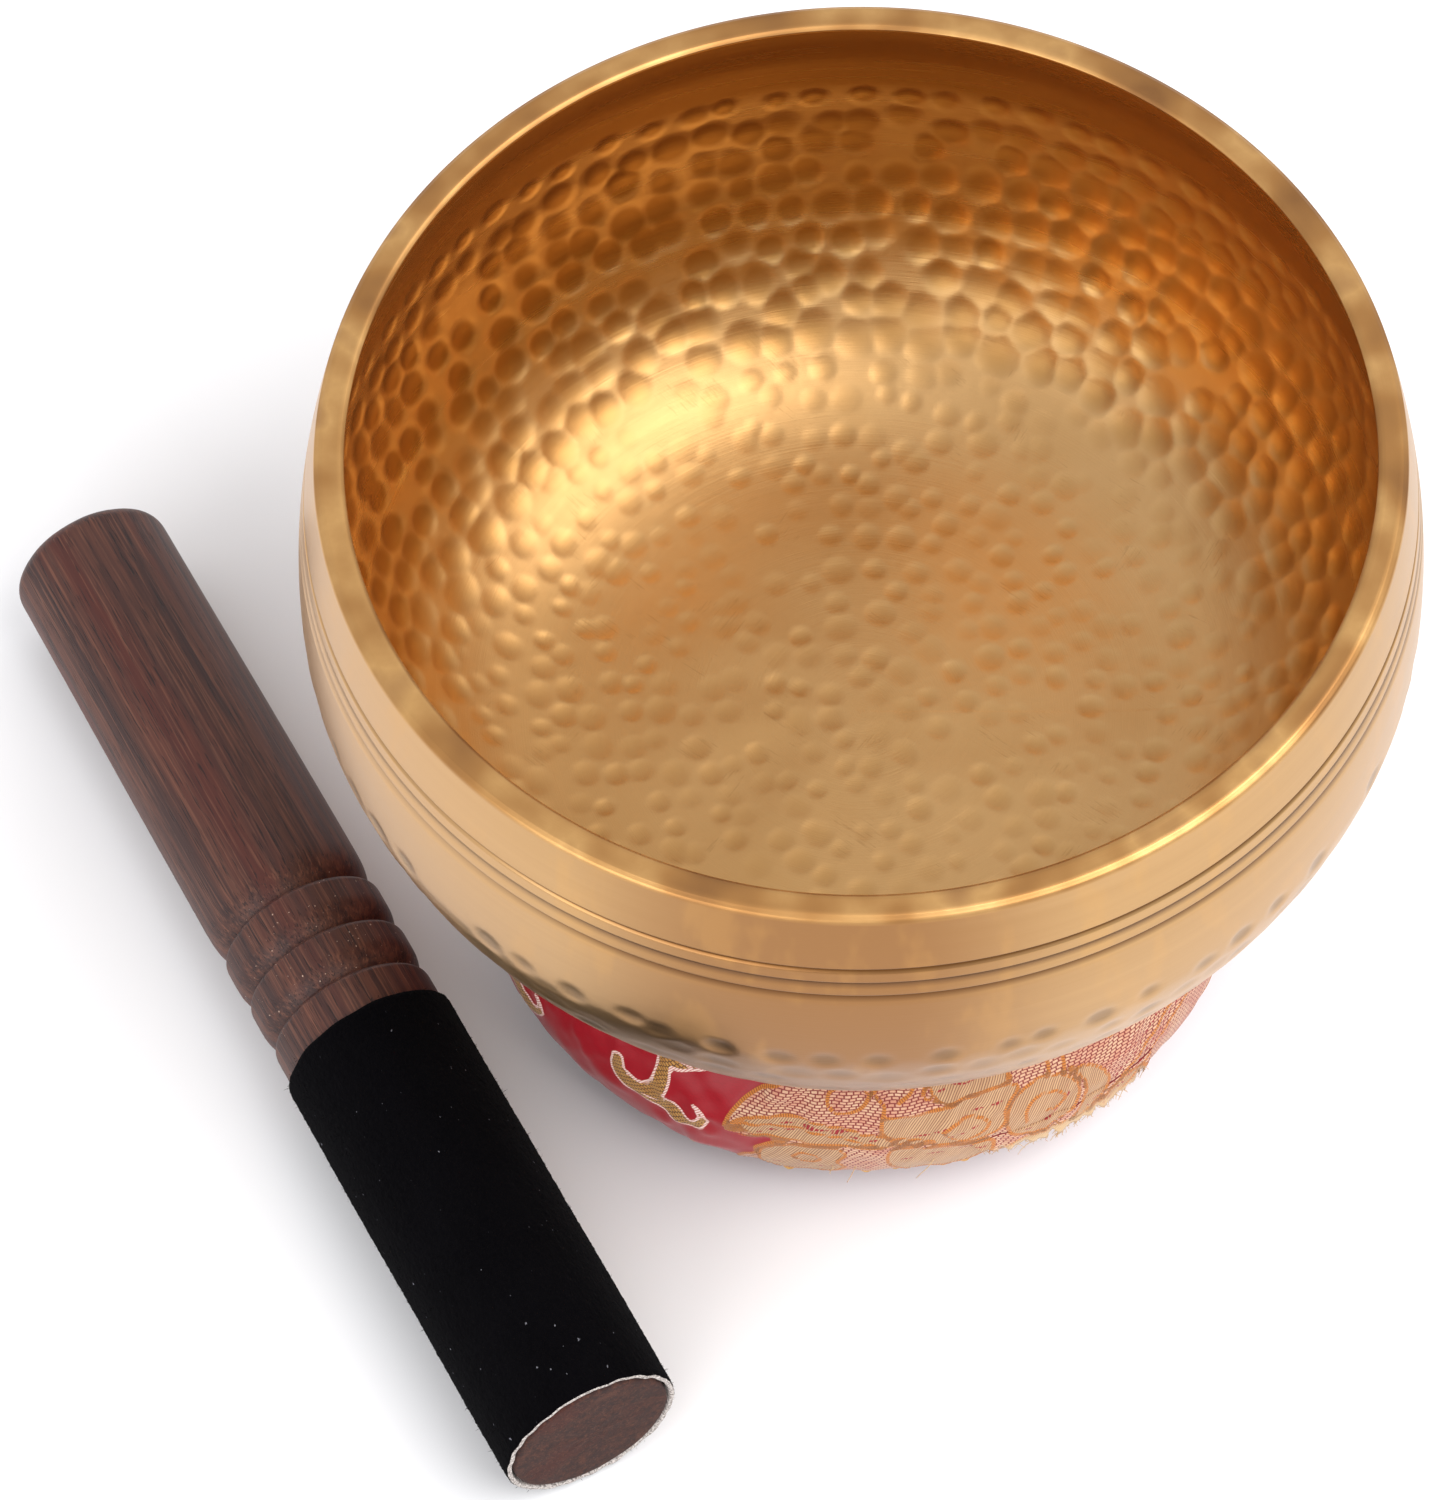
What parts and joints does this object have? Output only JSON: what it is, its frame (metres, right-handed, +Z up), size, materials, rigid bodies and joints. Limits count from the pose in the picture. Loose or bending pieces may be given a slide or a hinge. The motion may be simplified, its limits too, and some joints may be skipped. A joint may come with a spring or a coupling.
{
  "type": "singing bowl set",
  "caption": "Hammered bronze singing bowl resting on a round stuffed brocade cushion, with a suede-wrapped rosewood mallet lying beside it.",
  "frame": {"origin": "centre of the cushion's flat underside, on the surface the set stands on", "axes": "+Z up out of the bowl's mouth; -Y towards the viewer, with the mallet on the -X side"},
  "size_m": [0.1722, 0.1565, 0.0929],
  "materials": {
    "bronze": "turned and hammered, satin polish",
    "brocade": "satin-ground brocade with gold and cream figuring",
    "lining": "plain weave",
    "wadding": "cotton wadding",
    "thread": "twisted sewing thread",
    "rosewood": "turned, oiled",
    "suede": "napped suede with pale cut edges"
  },
  "bodies": {
    "cushion": {"cushion_cover": "brocade", "cushion_base_panel": "lining", "cushion_stuffing": "wadding", "cushion_seam_thread": "thread"},
    "bowl": {"bowl": "bronze"},
    "mallet": {"mallet_handle": "rosewood", "mallet_suede_sleeve": "suede"}
  },
  "joints": [
    {"name": "bowl_lift", "type": "slide", "parent": "cushion", "child": "bowl", "axis": [0, 0, 1], "range_m": [0, 0.12]},
    {"name": "mallet_lift", "type": "slide", "parent": "cushion", "child": "mallet", "axis": [-0.6214, -0.3374, 0.7071], "range_m": [0, 0.12]}
  ]
}
